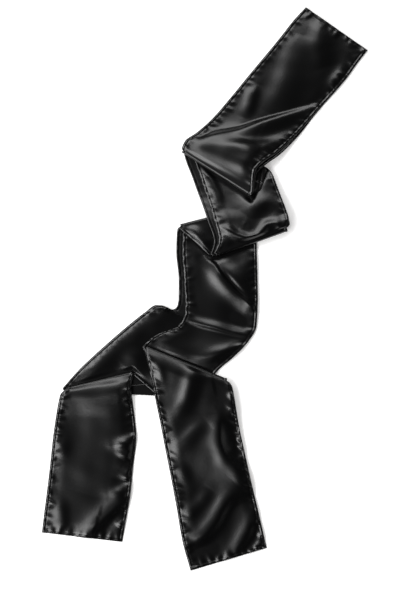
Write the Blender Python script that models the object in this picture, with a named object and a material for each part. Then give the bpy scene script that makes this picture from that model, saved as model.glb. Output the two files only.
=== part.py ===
"""A satin scarf, folded double at its middle and laid out flat in loose folds.

Two lengths lie one on the other from the seam at the middle of the scarf. They are folded
together four times, then part: the top length turns back on itself into the right tail, and
the under length runs out beneath it and turns back into the left tail.

Each length is a thin wall swept along the scarf. A row of a table gives one straight line
across the cloth, or one fold, by its left and right ends. Plan places are millimetres from
the middle of the outline, x to the right and y away from the tails; heights are millimetres
above the surface on which the scarf lies.
"""

import math
from collections import namedtuple

import bpy
import numpy as np

# Cloth
WALL = 1.2
PLY_GAP = 0.3
CUT_GAP = 0.3

# Heights of the middle of one resting length, and of the middle of a resting pair
REST = WALL / 2
PLY_STEP = WALL + PLY_GAP
PAIR_REST = WALL + PLY_GAP / 2
PAIR_STEP = 2 * PLY_STEP
PLY_OFFSET = PLY_STEP / 2
SECOND_PAIR = PAIR_REST + PAIR_STEP
THIRD_PAIR = SECOND_PAIR + PAIR_STEP
SECOND_PLY = REST + PLY_STEP
THIRD_PLY = SECOND_PLY + PLY_STEP
FOURTH_PLY = THIRD_PLY + PLY_STEP

# Fineness of the sweep
STEP_ALONG = 9.0
FOLD_STEPS = 8
TOP_CELLS = 9
UNDER_CELLS = 6

# Soft ridges: how far from a hem and from a fold they have died away
HEM_FADE = 9.0
FOLD_FADE = 14.0

SATIN_BLACK = (0.012, 0.012, 0.013, 1.0)
SATIN_ROUGHNESS = 0.35

MM = 0.001

# One line across the cloth: its ends in plan, the height of each end, and how far the under
# length lies to the right of the top one.
Across = namedtuple("Across", "left right height shift")

# One fold: the ends of its outer line, the heights of the lower and the upper sheet at each
# end, whether the path goes down or up through it, and the shift of the under length.
Fold = namedtuple("Fold", "left right lower upper way shift")

# One soft ridge: the part it lies on, how high and how wide, and its line in plan.
Ridge = namedtuple("Ridge", "part height reach line")

FLAT_PAIR = (PAIR_REST, PAIR_REST)
FLAT = (REST, REST)

# The two lengths together: the upper stretch, fold 1, a hidden sheet, fold 2, the middle
# stretch, fold 3, the sheet turned back, fold 4 and the start of the lower stretch.
PAIR = [
    Across((129.4, 360.9), (208.7, 305.8), FLAT_PAIR, 0.0),
    Across((114.5, 344.9), (197.2, 291.1), FLAT_PAIR, 0.0),
    Across((95.9, 321.2), (179.9, 267.4), FLAT_PAIR, 0.0),
    Across((58.1, 275.7), (144.0, 227.6), FLAT_PAIR, 1.0),
    Across((32.4, 244.3), (115.8, 195.6), (PAIR_REST, 3.5), 3.0),
    Across((6.8, 214.8), (90.1, 171.5), (4.0, 9.5), 4.0),
    Across((-9.9, 199.8), (74.7, 160.3), (THIRD_PAIR, 14.0), 4.0),
    Across((-24.6, 189.5), (63.8, 146.9), (THIRD_PAIR, 16.5), 2.0),
    Fold((-30.8, 177.2), (59.4, 117.4), (SECOND_PAIR, 9.35), (THIRD_PAIR, 17.35), "down", 0.0),
    Fold((-18.8, 181.5), (79.2, 161.0), FLAT_PAIR, (SECOND_PAIR, 9.35), "down", -10.0),
    Across((-11.8, 161.6), (85.6, 148.8), FLAT_PAIR, -12.0),
    Across((-5.6, 143.6), (92.0, 132.8), FLAT_PAIR, -11.0),
    Across((0.4, 124.7), (97.8, 117.4), (2.5, 7.5), -10.0),
    Across((7.2, 103.9), (104.2, 100.1), (7.5, 9.5), -9.0),
    Across((11.9, 87.2), (107.2, 89.8), (9.8, 10.8), -8.0),
    Across((17.8, 62.9), (108.5, 82.8), (10.35, 11.2), -6.0),
    Fold((12.6, 41.1), (108.1, 75.7), (SECOND_PAIR, SECOND_PAIR), (10.35, 11.35), "down", -5.0),
    Across((-9.9, 65.4), (86.3, 96.2), (SECOND_PAIR, SECOND_PAIR), -6.5),
    Fold((-27.4, 83.0), (66.4, 107.1), FLAT_PAIR, (SECOND_PAIR, SECOND_PAIR), "down", -8.0),
    Across((-28.1, 68.0), (66.5, 78.3), FLAT_PAIR, -8.0),
    Across((-28.5, 47.5), (66.8, 52.6), FLAT_PAIR, -8.0),
    Across((-26.7, 18.0), (67.7, 18.0), FLAT_PAIR, -7.0),
    Across((-24.6, -14.0), (68.3, -14.0), FLAT_PAIR, -9.0),
]

# The top length alone: the rest of the lower stretch, folds 5 and 6, and the right tail.
TOP_ALONE = [
    Across((-25.0, -30.7), (66.4, -47.4), (SECOND_PLY, SECOND_PLY), 0.0),
    Across((-35.5, -48.0), (54.9, -68.5), (SECOND_PLY, SECOND_PLY), 0.0),
    Across((-56.0, -55.3), (36.3, -87.8), (SECOND_PLY, SECOND_PLY), 0.0),
    Across((-70.1, -63.5), (16.4, -105.1), (SECOND_PLY, SECOND_PLY), 0.0),
    Fold((-80.4, -75.3), (-9.9, -144.8), (SECOND_PLY, SECOND_PLY), (THIRD_PLY, THIRD_PLY), "up", 0.0),
    Fold((-78.8, -71.5), (34.4, -117.2), (THIRD_PLY, THIRD_PLY), (FOURTH_PLY, 7.6), "up", 0.0),
    Across((-74.6, -88.4), (36.7, -130.7), (FOURTH_PLY, 7.6), 0.0),
    Across((-68.2, -115.3), (40.1, -151.2), (4.8, 7.5), 0.0),
    Across((-62.4, -144.8), (44.0, -174.3), (THIRD_PLY, 4.5), 0.0),
    Across((-57.3, -169.2), (47.2, -189.7), (1.6, 1.8), 0.0),
    Across((-51.5, -199.9), (51.7, -210.2), FLAT, 0.0),
    Across((-44.1, -237.1), (59.4, -244.8), FLAT, 0.0),
    Across((-36.8, -275.6), (66.4, -274.3), FLAT, 0.0),
    Across((-28.5, -323.0), (74.5, -308.9), FLAT, 0.0),
    Across((-18.1, -360.9), (79.7, -331.7), FLAT, 0.0),
]

# The under length alone: the bridge to the left, folds 7 and 8, and the left tail.
UNDER_ALONE = [
    Across((-35.3, -21.7), (54.0, -42.0), FLAT, 0.0),
    Across((-41.5, -26.1), (40.0, -72.0), FLAT, 0.0),
    Across((-54.0, -20.9), (30.0, -80.0), FLAT, 0.0),
    Across((-62.0, -20.4), (22.0, -86.0), FLAT, 0.0),
    Across((-76.5, -29.7), (8.0, -95.0), FLAT, 0.0),
    Across((-95.8, -44.8), (-8.0, -105.0), FLAT, 0.0),
    Across((-127.8, -72.4), (-25.3, -119.2), FLAT, 0.0),
    Across((-159.9, -102.2), (-39.4, -130.0), FLAT, 0.0),
    Fold((-184.9, -130.7), (-57.3, -136.5), FLAT, (SECOND_PLY, SECOND_PLY), "up", 0.0),
    Fold((-182.9, -128.1), (-90.0, -105.3), (SECOND_PLY, SECOND_PLY), (THIRD_PLY, 5.1), "up", 0.0),
    Across((-185.1, -135.8), (-93.8, -124.3), (THIRD_PLY, 4.6), 0.0),
    Across((-187.0, -144.2), (-91.9, -143.5), (3.5, 3.7), 0.0),
    Across((-190.9, -165.3), (-89.1, -166.6), (1.2, 1.2), 0.0),
    Across((-194.5, -191.0), (-87.2, -189.7), FLAT, 0.0),
    Across((-198.2, -225.6), (-91.2, -225.6), FLAT, 0.0),
    Across((-202.8, -264.3), (-95.1, -265.3), FLAT, 0.0),
    Across((-205.8, -287.1), (-99.2, -288.4), FLAT, 0.0),
    Across((-208.7, -311.8), (-105.5, -324.0), FLAT, 0.0),
]

RIDGES = [
    Ridge("top_upper", 3.0, 13.0, [(-16.3, 189.8), (19.6, 196.9), (70.9, 212.2), (142.7, 234.7)]),
    Ridge("top_middle", 2.5, 12.0, [(40.1, 71.9), (60.6, 69.3), (76.0, 84.7), (97.8, 86.0)]),
    Ridge("top_middle", 1.5, 12.0, [(8.0, 144.9), (16.0, 107.8), (27.0, 80.8)]),
    Ridge("top_lower", 3.0, 12.0, [(6.0, 27.0), (14.5, 14.2), (40.1, -14.0), (58.1, -26.9)]),
    Ridge("top_lower", 1.5, 11.0, [(-18.8, -32.0), (13.2, -40.3), (49.1, -51.2)]),
    Ridge("right_tail", 3.0, 14.0, [(-29.1, -108.9), (-38.1, -139.7), (-53.5, -164.0)]),
    Ridge("right_tail", 3.0, 15.0, [(9.4, -165.3), (11.9, -206.3), (27.3, -239.7), (55.5, -265.3)]),
    Ridge("right_tail", 1.5, 12.0, [(-24.0, -311.5), (0.4, -301.2), (17.1, -274.3)]),
    Ridge("left_tail", 2.5, 13.0, [(-111.1, -264.0), (-134.2, -279.4), (-162.4, -300.0)]),
    Ridge("left_tail", 1.5, 12.0, [(-100.0, -191.7), (-115.0, -199.9), (-139.4, -202.5)]),
]

# A stretch of one length: the ends of each line along the middle of its wall, and how far
# the line is from the nearest fold, 0 in the fold itself.
Path = namedtuple("Path", "left right from_fold")


def unit(vectors):
    return vectors / np.linalg.norm(vectors, axis=-1, keepdims=True)


def smooth_through(places, values, at):
    """A curve through the values with no overshoot, read at the places asked for."""
    places = np.asarray(places, float)
    values = np.asarray(values, float)
    widths = np.diff(places)
    slopes = np.diff(values, axis=0) / widths[:, None]
    inner = np.zeros_like(slopes[1:])
    same_sign = slopes[1:] * slopes[:-1] > 0
    before, after = slopes[:-1][same_sign], slopes[1:][same_sign]
    inner[same_sign] = 2 * before * after / (before + after)
    tangents = np.vstack([slopes[:1], inner, slopes[-1:]])
    index = np.clip(np.searchsorted(places, at, side="right") - 1, 0, len(widths) - 1)
    width = widths[index][:, None]
    t = ((at - places[index])[:, None]) / width
    start, end = values[index], values[index + 1]
    lead, trail = tangents[index] * width, tangents[index + 1] * width
    return (
        (2 * t**3 - 3 * t**2 + 1) * start
        + (t**3 - 2 * t**2 + t) * lead
        + (3 * t**2 - 2 * t**3) * end
        + (t**3 - t**2) * trail
    )


def fold_lines(fold, travel):
    """The straight lines of a half turn, a cone that opens from one end to the other."""
    ends = np.array([fold.left, fold.right], float)
    along = unit(ends[1] - ends[0])
    outward = np.array([along[1], -along[0]])
    if outward @ travel < 0:
        outward = -outward
    lower, upper = np.array(fold.lower), np.array(fold.upper)
    radius = (upper - lower) / 2
    middle = (upper + lower) / 2
    sign = 1 if fold.way == "down" else -1
    lines = []
    for step in range(FOLD_STEPS + 1):
        angle = sign * math.pi * (0.5 - step / FOLD_STEPS)
        out = radius * (math.cos(angle) - 1)
        plan = ends + out[:, None] * outward
        height = middle + radius * math.sin(angle)
        lines.append((*plan[0], height[0], *plan[1], height[1], fold.shift))
    return lines


def sheet_lines(rows):
    """Lines every few millimetres through the rows of one sheet between two folds."""
    rows = np.array(rows)
    left_way = np.linalg.norm(np.diff(rows[:, :3], axis=0), axis=1)
    right_way = np.linalg.norm(np.diff(rows[:, 3:6], axis=0), axis=1)
    places = np.concatenate([[0], np.cumsum((left_way + right_way) / 2)])
    found = [places[0]]
    for i, way in enumerate(np.maximum(left_way, right_way)):
        count = max(1, math.ceil(way / STEP_ALONG))
        found.extend(np.linspace(places[i], places[i + 1], count + 1)[1:])
    return smooth_through(places, rows, np.array(found))


def row_line(row):
    return (*row.left, row.height[0], *row.right, row.height[1], row.shift)


def middle_of(row):
    return (np.array(row.left) + np.array(row.right)) / 2


def swept_lines(table):
    """Every line of a table: sheets through its rows and half turns at its folds.

    It also gives, for each line, how far along the cloth it is from the nearest fold.
    """
    lines, from_fold = [], []
    pending = []
    after_fold = False

    def close_sheet(before_fold):
        sheet = sheet_lines(pending)
        centres = (sheet[:, :3] + sheet[:, 3:6]) / 2
        ways = np.linalg.norm(np.diff(centres, axis=0), axis=1)
        run = np.concatenate([[0], np.cumsum(ways)])
        distance = np.full(len(sheet), np.inf)
        if after_fold:
            distance = np.minimum(distance, run)
        if before_fold:
            distance = np.minimum(distance, run[-1] - run)
        lines.extend(sheet)
        from_fold.extend(distance)

    for i, row in enumerate(table):
        if isinstance(row, Across):
            pending.append(row_line(row))
            continue
        turn = fold_lines(row, middle_of(row) - middle_of(table[i - 1]))
        pending.append(turn[0])
        close_sheet(True)
        lines.extend(turn[1:-1])
        from_fold.extend([0.0] * (FOLD_STEPS - 1))
        pending = [turn[-1]]
        after_fold = True
    close_sheet(False)
    return np.array(lines), np.array(from_fold)


def facing(left, right):
    """At both ends of each line, the direction square to the cloth, on its right side."""
    across = unit(right - left)
    found = []
    for edge in (left, right):
        ways = unit(np.diff(edge, axis=0))
        tangents = np.vstack([ways[:1], ways[:-1] + ways[1:], ways[-1:]])
        found.append(unit(np.cross(tangents, across)))
    return found


def length_path(pair, pair_fade, alone, side):
    """One length from the pair's lines and then its own: side is 1 on top and -1 beneath."""
    left, right, shift = pair[:, :3], pair[:, 3:6], pair[:, 6]
    left_up, right_up = facing(left, right)
    slide = (shift if side < 0 else 0 * shift)[:, None] * unit(right - left)
    left = left + slide + side * PLY_OFFSET * left_up
    right = right + slide + side * PLY_OFFSET * right_up
    first = Across(left[-1, :2], right[-1, :2], (left[-1, 2], right[-1, 2]), 0.0)
    own, own_fade = swept_lines([first, *alone])
    left = np.vstack([left, own[1:, :3]])
    right = np.vstack([right, own[1:, 3:6]])
    return Path(left, right, np.concatenate([pair_fade, own_fade[1:]]))


def cut(path, start, end):
    """The lines of a path from one to another, drawn in by half the gap at a cut end."""
    left, right = path.left[start : end + 1].copy(), path.right[start : end + 1].copy()
    fade = path.from_fold[start : end + 1]
    for edge in (left, right):
        if start > 0:
            edge[0] += unit(edge[1] - edge[0]) * CUT_GAP / 2
        if end < len(path.left) - 1:
            edge[-1] += unit(edge[-2] - edge[-1]) * CUT_GAP / 2
    return Path(left, right, fade)


def distance_to_line(points, line):
    """How far each point in plan is from a bent line."""
    line = np.array(line, float)
    nearest = np.full(points.shape[:-1], np.inf)
    for start, end in zip(line[:-1], line[1:]):
        way = end - start
        t = np.clip(((points - start) @ way) / (way @ way), 0, 1)
        gap = np.linalg.norm(points - (start + t[..., None] * way), axis=-1)
        nearest = np.minimum(nearest, gap)
    return nearest


def eased(x):
    x = np.clip(x, 0, 1)
    return x * x * (3 - 2 * x)


def ridge_heights(part, middle, facing_up, hem_distance, fold_distance):
    """How far the cloth of a part rises over its resting form."""
    heights = np.zeros(middle.shape[:-1])
    for ridge in RIDGES:
        if ridge.part == part:
            near = eased(1 - distance_to_line(middle[..., :2], ridge.line) / ridge.reach)
            heights = np.maximum(heights, ridge.height * near)
    heights *= eased(hem_distance / HEM_FADE) * eased(fold_distance / FOLD_FADE)
    return np.where(facing_up, heights, 0.0)


def wall(part, path, cells):
    """The closed wall of one part: corners and faces."""
    share = np.linspace(0, 1, cells + 1)[None, :, None]
    left_up, right_up = facing(path.left, path.right)
    middle = path.left[:, None] * (1 - share) + path.right[:, None] * share
    up = unit(left_up[:, None] * (1 - share) + right_up[:, None] * share)
    width = np.linalg.norm(path.right - path.left, axis=1)[:, None]
    hem_distance = width * np.minimum(share[..., 0], 1 - share[..., 0])
    fold_distance = np.repeat(path.from_fold[:, None], cells + 1, axis=1)
    facing_up = highest_sheet(part, path)[:, None]
    rise = ridge_heights(part, middle, facing_up, hem_distance, fold_distance)[..., None]
    outer = middle + up * (rise + WALL / 2)
    inner = middle + up * (rise - WALL / 2)
    rows, columns = outer.shape[:2]
    corners = np.vstack([outer.reshape(-1, 3), inner.reshape(-1, 3)])
    return corners, wall_faces(rows, columns)


def highest_sheet(part, path):
    """Which lines of a part lie on its face that shows, between its folds."""
    folds = np.flatnonzero(path.from_fold == 0)
    index = np.arange(len(path.left))
    if not len(folds):
        return np.ones(len(path.left), bool)
    if part in ("top_upper", "under_upper"):
        return index < folds[0]
    if part in ("right_tail", "left_tail"):
        return index > folds[-1]
    widest = int(np.argmax(np.diff(folds)))
    return (index > folds[widest]) & (index < folds[widest + 1])


def wall_faces(rows, columns):
    """Faces of the right side, the wrong side, both hems and both ends of a wall."""
    under = rows * columns

    def at(i, j):
        return i * columns + j

    faces = []
    for i in range(rows - 1):
        for j in range(columns - 1):
            a, b, c, d = at(i, j), at(i + 1, j), at(i + 1, j + 1), at(i, j + 1)
            faces.append((a, b, c, d))
            faces.append((a + under, d + under, c + under, b + under))
        for j, outward in ((0, 1), (columns - 1, -1)):
            side = (at(i, j), at(i, j) + under, at(i + 1, j) + under, at(i + 1, j))
            faces.append(side[::outward])
    for j in range(columns - 1):
        for i, outward in ((0, 1), (rows - 1, -1)):
            end = (at(i, j), at(i, j + 1), at(i, j + 1) + under, at(i, j) + under)
            faces.append(end[::outward])
    return faces


def satin(name):
    material = bpy.data.materials.new(name + "_satin")
    material.use_nodes = True
    shader = material.node_tree.nodes["Principled BSDF"]
    shader.inputs["Base Color"].default_value = SATIN_BLACK
    shader.inputs["Roughness"].default_value = SATIN_ROUGHNESS
    shader.inputs["Metallic"].default_value = 0.0
    return material


def add_part(name, path, cells):
    corners, faces = wall(name, path, cells)
    mesh = bpy.data.meshes.new(name)
    mesh.from_pydata((corners * MM).tolist(), [], faces)
    mesh.polygons.foreach_set("use_smooth", [True] * len(mesh.polygons))
    mesh.materials.append(satin(name))
    mesh.update()
    part = bpy.data.objects.new(name, mesh)
    bpy.context.scene.collection.objects.link(part)


def fold_spans(path):
    """First and last line of each half turn along a path."""
    turning = np.flatnonzero(path.from_fold == 0)
    breaks = np.flatnonzero(np.diff(turning) > 1)
    starts = [turning[0], *turning[breaks + 1]]
    ends = [*turning[breaks], turning[-1]]
    return list(zip(starts, ends))


def between(first_fold, second_fold):
    """The line halfway along the sheet between two folds."""
    return (first_fold[1] + second_fold[0]) // 2


def build_top(pair, fade):
    path = length_path(pair, fade, TOP_ALONE, 1)
    folds = fold_spans(path)
    last = len(path.left) - 1
    first_cut = between(folds[0], folds[1])
    second_cut = between(folds[2], folds[3])
    third_cut = between(folds[4], folds[5])
    add_part("top_upper", cut(path, 0, first_cut), TOP_CELLS)
    add_part("top_middle", cut(path, first_cut, second_cut), TOP_CELLS)
    add_part("top_lower", cut(path, second_cut, third_cut), TOP_CELLS)
    add_part("right_tail", cut(path, third_cut, last), TOP_CELLS)


def build_under(pair, fade):
    path = length_path(pair, fade, UNDER_ALONE, -1)
    folds = fold_spans(path)
    last = len(path.left) - 1
    first_cut = between(folds[0], folds[1])
    third_cut = between(folds[4], folds[5])
    add_part("under_upper", cut(path, 0, first_cut), UNDER_CELLS)
    add_part("under_middle", cut(path, first_cut, folds[2][1]), UNDER_CELLS)
    add_part("under_turnback", cut(path, folds[2][1], folds[3][1]), UNDER_CELLS)
    add_part("under_lower", cut(path, folds[3][1], third_cut), UNDER_CELLS)
    add_part("left_tail", cut(path, third_cut, last), UNDER_CELLS)


for old in list(bpy.data.objects):
    bpy.data.objects.remove(old, do_unlink=True)

pair_lines, pair_fade = swept_lines(PAIR)
build_top(pair_lines, pair_fade)
build_under(pair_lines, pair_fade)
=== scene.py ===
"""The looks of a black satin scarf, folded double and laid out flat in loose folds.

Each part of the frame is shown as a thin shell with sewn hems, puckered seams and soft
creases, swept along the same lines as its solid. Plan places are millimetres from the middle
of the outline, x to the right and y away from the tails; heights are millimetres above the
surface on which the scarf lies.
"""

import math
from collections import namedtuple

import bpy
import numpy as np
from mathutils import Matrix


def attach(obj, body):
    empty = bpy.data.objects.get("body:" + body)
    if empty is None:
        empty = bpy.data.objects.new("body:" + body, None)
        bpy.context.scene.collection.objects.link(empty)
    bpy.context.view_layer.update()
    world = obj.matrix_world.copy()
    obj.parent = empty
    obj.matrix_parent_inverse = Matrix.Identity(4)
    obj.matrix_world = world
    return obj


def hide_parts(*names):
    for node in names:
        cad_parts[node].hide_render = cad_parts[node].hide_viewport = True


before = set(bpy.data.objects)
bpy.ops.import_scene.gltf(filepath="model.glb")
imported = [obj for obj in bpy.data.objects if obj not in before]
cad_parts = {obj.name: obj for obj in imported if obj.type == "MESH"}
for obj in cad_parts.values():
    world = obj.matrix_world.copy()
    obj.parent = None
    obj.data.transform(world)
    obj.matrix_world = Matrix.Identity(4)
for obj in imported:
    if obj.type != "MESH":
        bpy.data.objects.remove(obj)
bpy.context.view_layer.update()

MM = 0.001

# Cloth: the solid's wall, on whose middle the shell lies, and the shell's own thickness
WALL = 1.2
PLY_GAP = 0.3
CUT_GAP = 0.3
RIBBON_WIDTH = 100.0
SHELL_THICKNESS = 0.7

# Heights of the middle of one resting length, and of the middle of a resting pair
REST = WALL / 2
PLY_STEP = WALL + PLY_GAP
PAIR_REST = WALL + PLY_GAP / 2
PAIR_STEP = 2 * PLY_STEP
PLY_OFFSET = PLY_STEP / 2
SECOND_PAIR = PAIR_REST + PAIR_STEP
THIRD_PAIR = SECOND_PAIR + PAIR_STEP
SECOND_PLY = REST + PLY_STEP
THIRD_PLY = SECOND_PLY + PLY_STEP
FOURTH_PLY = THIRD_PLY + PLY_STEP

# Round corners where a hem passes through a fold: the left and the right radius at each fold
PAIR_CORNERS = [(2.5, 1.0), (2.5, 5.0), (3.0, 2.5), (4.0, 3.0)]
TOP_CORNERS = [(2.0, 3.0), (1.0, 6.0)]
UNDER_CORNERS = [(6.0, 3.0), (8.0, 3.0)]

# Fineness of the sweep. The hem columns are places in from a hem, and a sewn end has lines at
# the first few of these too.
STEP_ALONG = 1.7
FOLD_STEPS = 20
HEM_COLUMNS = (
    0, 0.12, 0.35, 0.7, 1.1, 1.6, 2.2, 2.7, 3.2, 3.7, 4.1, 4.6, 5.3, 6.4, 8.0, 9.8, 12, 14,
)
END_LINES = 12
MIDDLE_COLUMNS = 36

# Sewn hem: a rolled seam and a stitched groove. The very edge keeps a little thickness, given
# as the square of its share of the seam's. Places closer than SAME_PLACE count as one.
SEAM_RISE = 0.7
SEAM_SINK = 0.5
SEAM_EDGE = 1.1
SEAM_WIDTH = 2.3
SEAM_FALL = 1.2
EDGE_SHARE_SQUARED = 0.004
STITCH_INSET = 4.1
SAME_PLACE = 0.01
GROOVE_DEPTH = 0.2
GROOVE_REACH = 0.7

# A stitch: where its rings of corners lie along it, how thick each is, and how far it stands
# out of the cloth, as shares of its length and of its radius
STITCH_PITCH = 3.2
STITCH_LENGTH = 2.3
STITCH_RADIUS = 0.14
STITCH_SIDES = 6
STITCH_PLACES = (0, 0.3, 0.7, 1)
STITCH_THICKNESS = (0.25, 1.0, 1.0, 0.25)
STITCH_LIFT = (-0.5, 0.6, 0.6, -0.5)

# Puckers run inwards from a hem. Ranges: the way to the next, how far one runs in, its share of
# the part's highest, its slant and its breadth. Each rises over PUCKER_RISE and begins to fall
# at PUCKER_FALL from the hem, and where some meet they stand no higher than the limit. Under a
# cover they keep the share COVERED_PUCKERS of their height.
PUCKER_PITCH = (7.5, 13.0)
PUCKER_REACH = (8.0, 17.0)
PUCKER_HEIGHT = (0.35, 1.0)
PUCKER_SLANT = (-0.45, 0.45)
PUCKER_BREADTH = (2.0, 3.6)
PUCKER_RISE = 2.5
PUCKER_FALL = 3.0
PUCKER_LIMIT = 2.4
COVERED_PUCKERS = 0.3

# Relief: creases, puckers and slack each die away this near to a fold. The cloth stands a
# little slack inside its hems, in swells that each have a height and a range of wavelengths.
# Near a cover the slack dies away SLACK_FADE times as slowly as the creases.
CREASE_FADE = 8.0
PUCKER_FADE = 4.0
SLACK_FOLD_FADE = 22.0
SLACK_HEIGHT = 0.9
SLACK_REACH = 20.0
LONG_SWELL = (1.0, (55.0, 120.0))
SHORT_SWELL = (0.10, (20.0, 38.0))
SWELL_WAVES = 6
CREASE_STEPS = 6
SLACK_FADE = 2.6

# A tail rises from the fold it begins at: how high, how soon, and how far on it has come down
ROLLED_PARTS = ("right_tail", "left_tail")
ROLL_HEIGHT = 2.8
ROLL_REACH = 6.0
ROLL_TAIL = 30.0

# Satin and its weave: threads a metre across and along the ribbon, and their depth in metres
SATIN_BLACK = (0.0007, 0.0007, 0.0008, 1.0)
SATIN_ROUGHNESS = 0.29
SATIN_IOR = 1.5
THREAD_ROUGHNESS = 0.7
WEAVE_SCALE = (2600.0, 260.0, 1.0)
WEAVE_DETAIL = 2.0
WEAVE_STRENGTH = 0.25
WEAVE_DEPTH = 0.0001

# The surface under the scarf, in metres. It glows a little, so that it shows white.
FLOOR_REACH = 3.0
PAPER_WHITE = (0.93, 0.93, 0.93, 1.0)
PAPER_ROUGHNESS = 0.9
PAPER_SPECULAR = 0.1
PAPER_GLOW = (1.0, 0.99, 0.98, 1.0)
PAPER_GLOW_STRENGTH = 0.35

# Camera, straight above, in metres: VIEW_HEIGHT of the surface shows from the picture's bottom
# to its top. The sensor is in millimetres.
CAMERA_HEIGHT = 1.9
VIEW_HEIGHT = 0.769
VIEW_CENTRE = (-0.006, -0.014)
SENSOR_WIDTH = 36.0

# Lights, in metres and watts: softboxes that point at the middle, in a nearly dark surround
Softbox = namedtuple("Softbox", "name place size power")

SOFTBOXES = [
    Softbox("left", (-1.75, 0.25, 1.6), (2.3, 1.0), 55.0),
    Softbox("lower left", (-1.15, -1.1, 1.55), (1.0, 0.8), 21.0),
    Softbox("top", (-0.35, 1.45, 1.6), (1.8, 0.8), 25.0),
    Softbox("right", (2.1, -0.7, 0.9), (2.4, 1.1), 4.0),
]
SURROUND = 0.02

# One line across the cloth: its ends in plan, the height of each end, and how far the under
# length lies to the right of the top one.
Across = namedtuple("Across", "left right height shift")

# One fold: the ends of its outer line, the heights of the lower and the upper sheet at each
# end, whether the path goes down or up through it, and the shift of the under length.
Fold = namedtuple("Fold", "left right lower upper way shift")

# One crease in relief: the part it lies on, how far it reaches to the left and to the right
# of its line, the line as (x, y, height), and whether its left side ends soft or sharp.
Ridge = namedtuple("Ridge", "part reach_left reach_right line foot", defaults=("soft",))

FLAT_PAIR = (PAIR_REST, PAIR_REST)
FLAT_SECOND_PAIR = (SECOND_PAIR, SECOND_PAIR)
FLAT = (REST, REST)
FLAT_SECOND = (SECOND_PLY, SECOND_PLY)
FLAT_THIRD = (THIRD_PLY, THIRD_PLY)

# The two lengths together: the upper stretch, fold 1, a hidden sheet, fold 2, the middle
# stretch, fold 3, the sheet turned back, fold 4 and the start of the lower stretch.
PAIR = [
    Across((129.4, 360.9), (208.7, 305.8), FLAT_PAIR, 0.0),
    Across((114.5, 344.9), (197.2, 291.1), FLAT_PAIR, 0.0),
    Across((95.9, 321.2), (179.9, 267.4), FLAT_PAIR, 0.0),
    Across((58.1, 275.7), (144.0, 227.6), FLAT_PAIR, 1.0),
    Across((32.4, 244.3), (115.8, 195.6), (PAIR_REST, 3.5), 3.0),
    Across((6.8, 214.8), (90.1, 171.5), (4.0, 9.5), 4.0),
    Across((-9.9, 199.8), (74.7, 160.3), (THIRD_PAIR, 14.0), 4.0),
    Across((-24.6, 189.5), (63.8, 146.9), (THIRD_PAIR, 16.5), 2.0),
    Fold((-30.8, 177.2), (59.4, 117.4), (SECOND_PAIR, 9.35), (THIRD_PAIR, 17.35), "down", 0.0),
    Across((-27.0, 179.2), (71.5, 126.0), (SECOND_PAIR, 9.35), -3.0),
    Fold((-18.8, 181.5), (79.2, 161.0), FLAT_PAIR, (SECOND_PAIR, 9.35), "down", -10.0),
    Across((-11.8, 161.6), (85.6, 148.8), (1.6, 2.4), -12.0),
    Across((-5.6, 143.6), (92.0, 132.8), (1.9, 4.4), -11.0),
    Across((0.4, 124.7), (97.8, 117.4), (3.0, 6.6), -10.0),
    Across((7.2, 103.9), (104.2, 100.1), (7.0, 9.0), -9.0),
    Across((11.9, 87.2), (107.2, 89.8), (9.8, 10.8), -8.0),
    Across((17.8, 62.9), (108.5, 82.8), (10.35, 11.2), -6.0),
    Fold((12.6, 41.1), (108.1, 75.7), FLAT_SECOND_PAIR, (10.35, 11.35), "down", -5.0),
    Across((-9.9, 65.4), (86.3, 96.2), FLAT_SECOND_PAIR, -6.5),
    Fold((-27.4, 83.0), (66.4, 107.1), FLAT_PAIR, FLAT_SECOND_PAIR, "down", -8.0),
    Across((-28.1, 68.0), (66.5, 78.3), FLAT_PAIR, -8.0),
    Across((-28.5, 47.5), (66.8, 52.6), FLAT_PAIR, -8.0),
    Across((-26.7, 18.0), (67.7, 18.0), FLAT_PAIR, -7.0),
    Across((-24.6, -14.0), (68.3, -14.0), FLAT_PAIR, -9.0),
]

# The top length alone: the rest of the lower stretch, folds 5 and 6, and the right tail.
TOP_ALONE = [
    Across((-25.0, -30.7), (66.4, -47.4), FLAT_SECOND, 0.0),
    Across((-35.5, -48.0), (54.9, -68.5), FLAT_SECOND, 0.0),
    Across((-56.0, -55.3), (36.3, -87.8), FLAT_SECOND, 0.0),
    Across((-70.1, -63.5), (16.4, -105.1), FLAT_SECOND, 0.0),
    Fold((-80.4, -75.3), (-9.9, -144.8), FLAT_SECOND, FLAT_THIRD, "up", 0.0),
    Fold((-78.8, -71.5), (34.4, -117.2), FLAT_THIRD, (FOURTH_PLY, 7.6), "up", 0.0),
    Across((-74.6, -88.4), (36.7, -130.7), (FOURTH_PLY, 7.6), 0.0),
    Across((-68.2, -115.3), (40.1, -151.2), (4.8, 7.5), 0.0),
    Across((-62.4, -144.8), (44.0, -174.3), (THIRD_PLY, 4.5), 0.0),
    Across((-57.3, -169.2), (47.2, -189.7), (1.6, 1.8), 0.0),
    Across((-51.5, -199.9), (51.7, -210.2), FLAT, 0.0),
    Across((-44.1, -237.1), (59.4, -244.8), FLAT, 0.0),
    Across((-36.8, -275.6), (66.4, -274.3), FLAT, 0.0),
    Across((-28.5, -323.0), (74.5, -308.9), FLAT, 0.0),
    Across((-18.1, -360.9), (79.7, -331.7), FLAT, 0.0),
]

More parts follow.
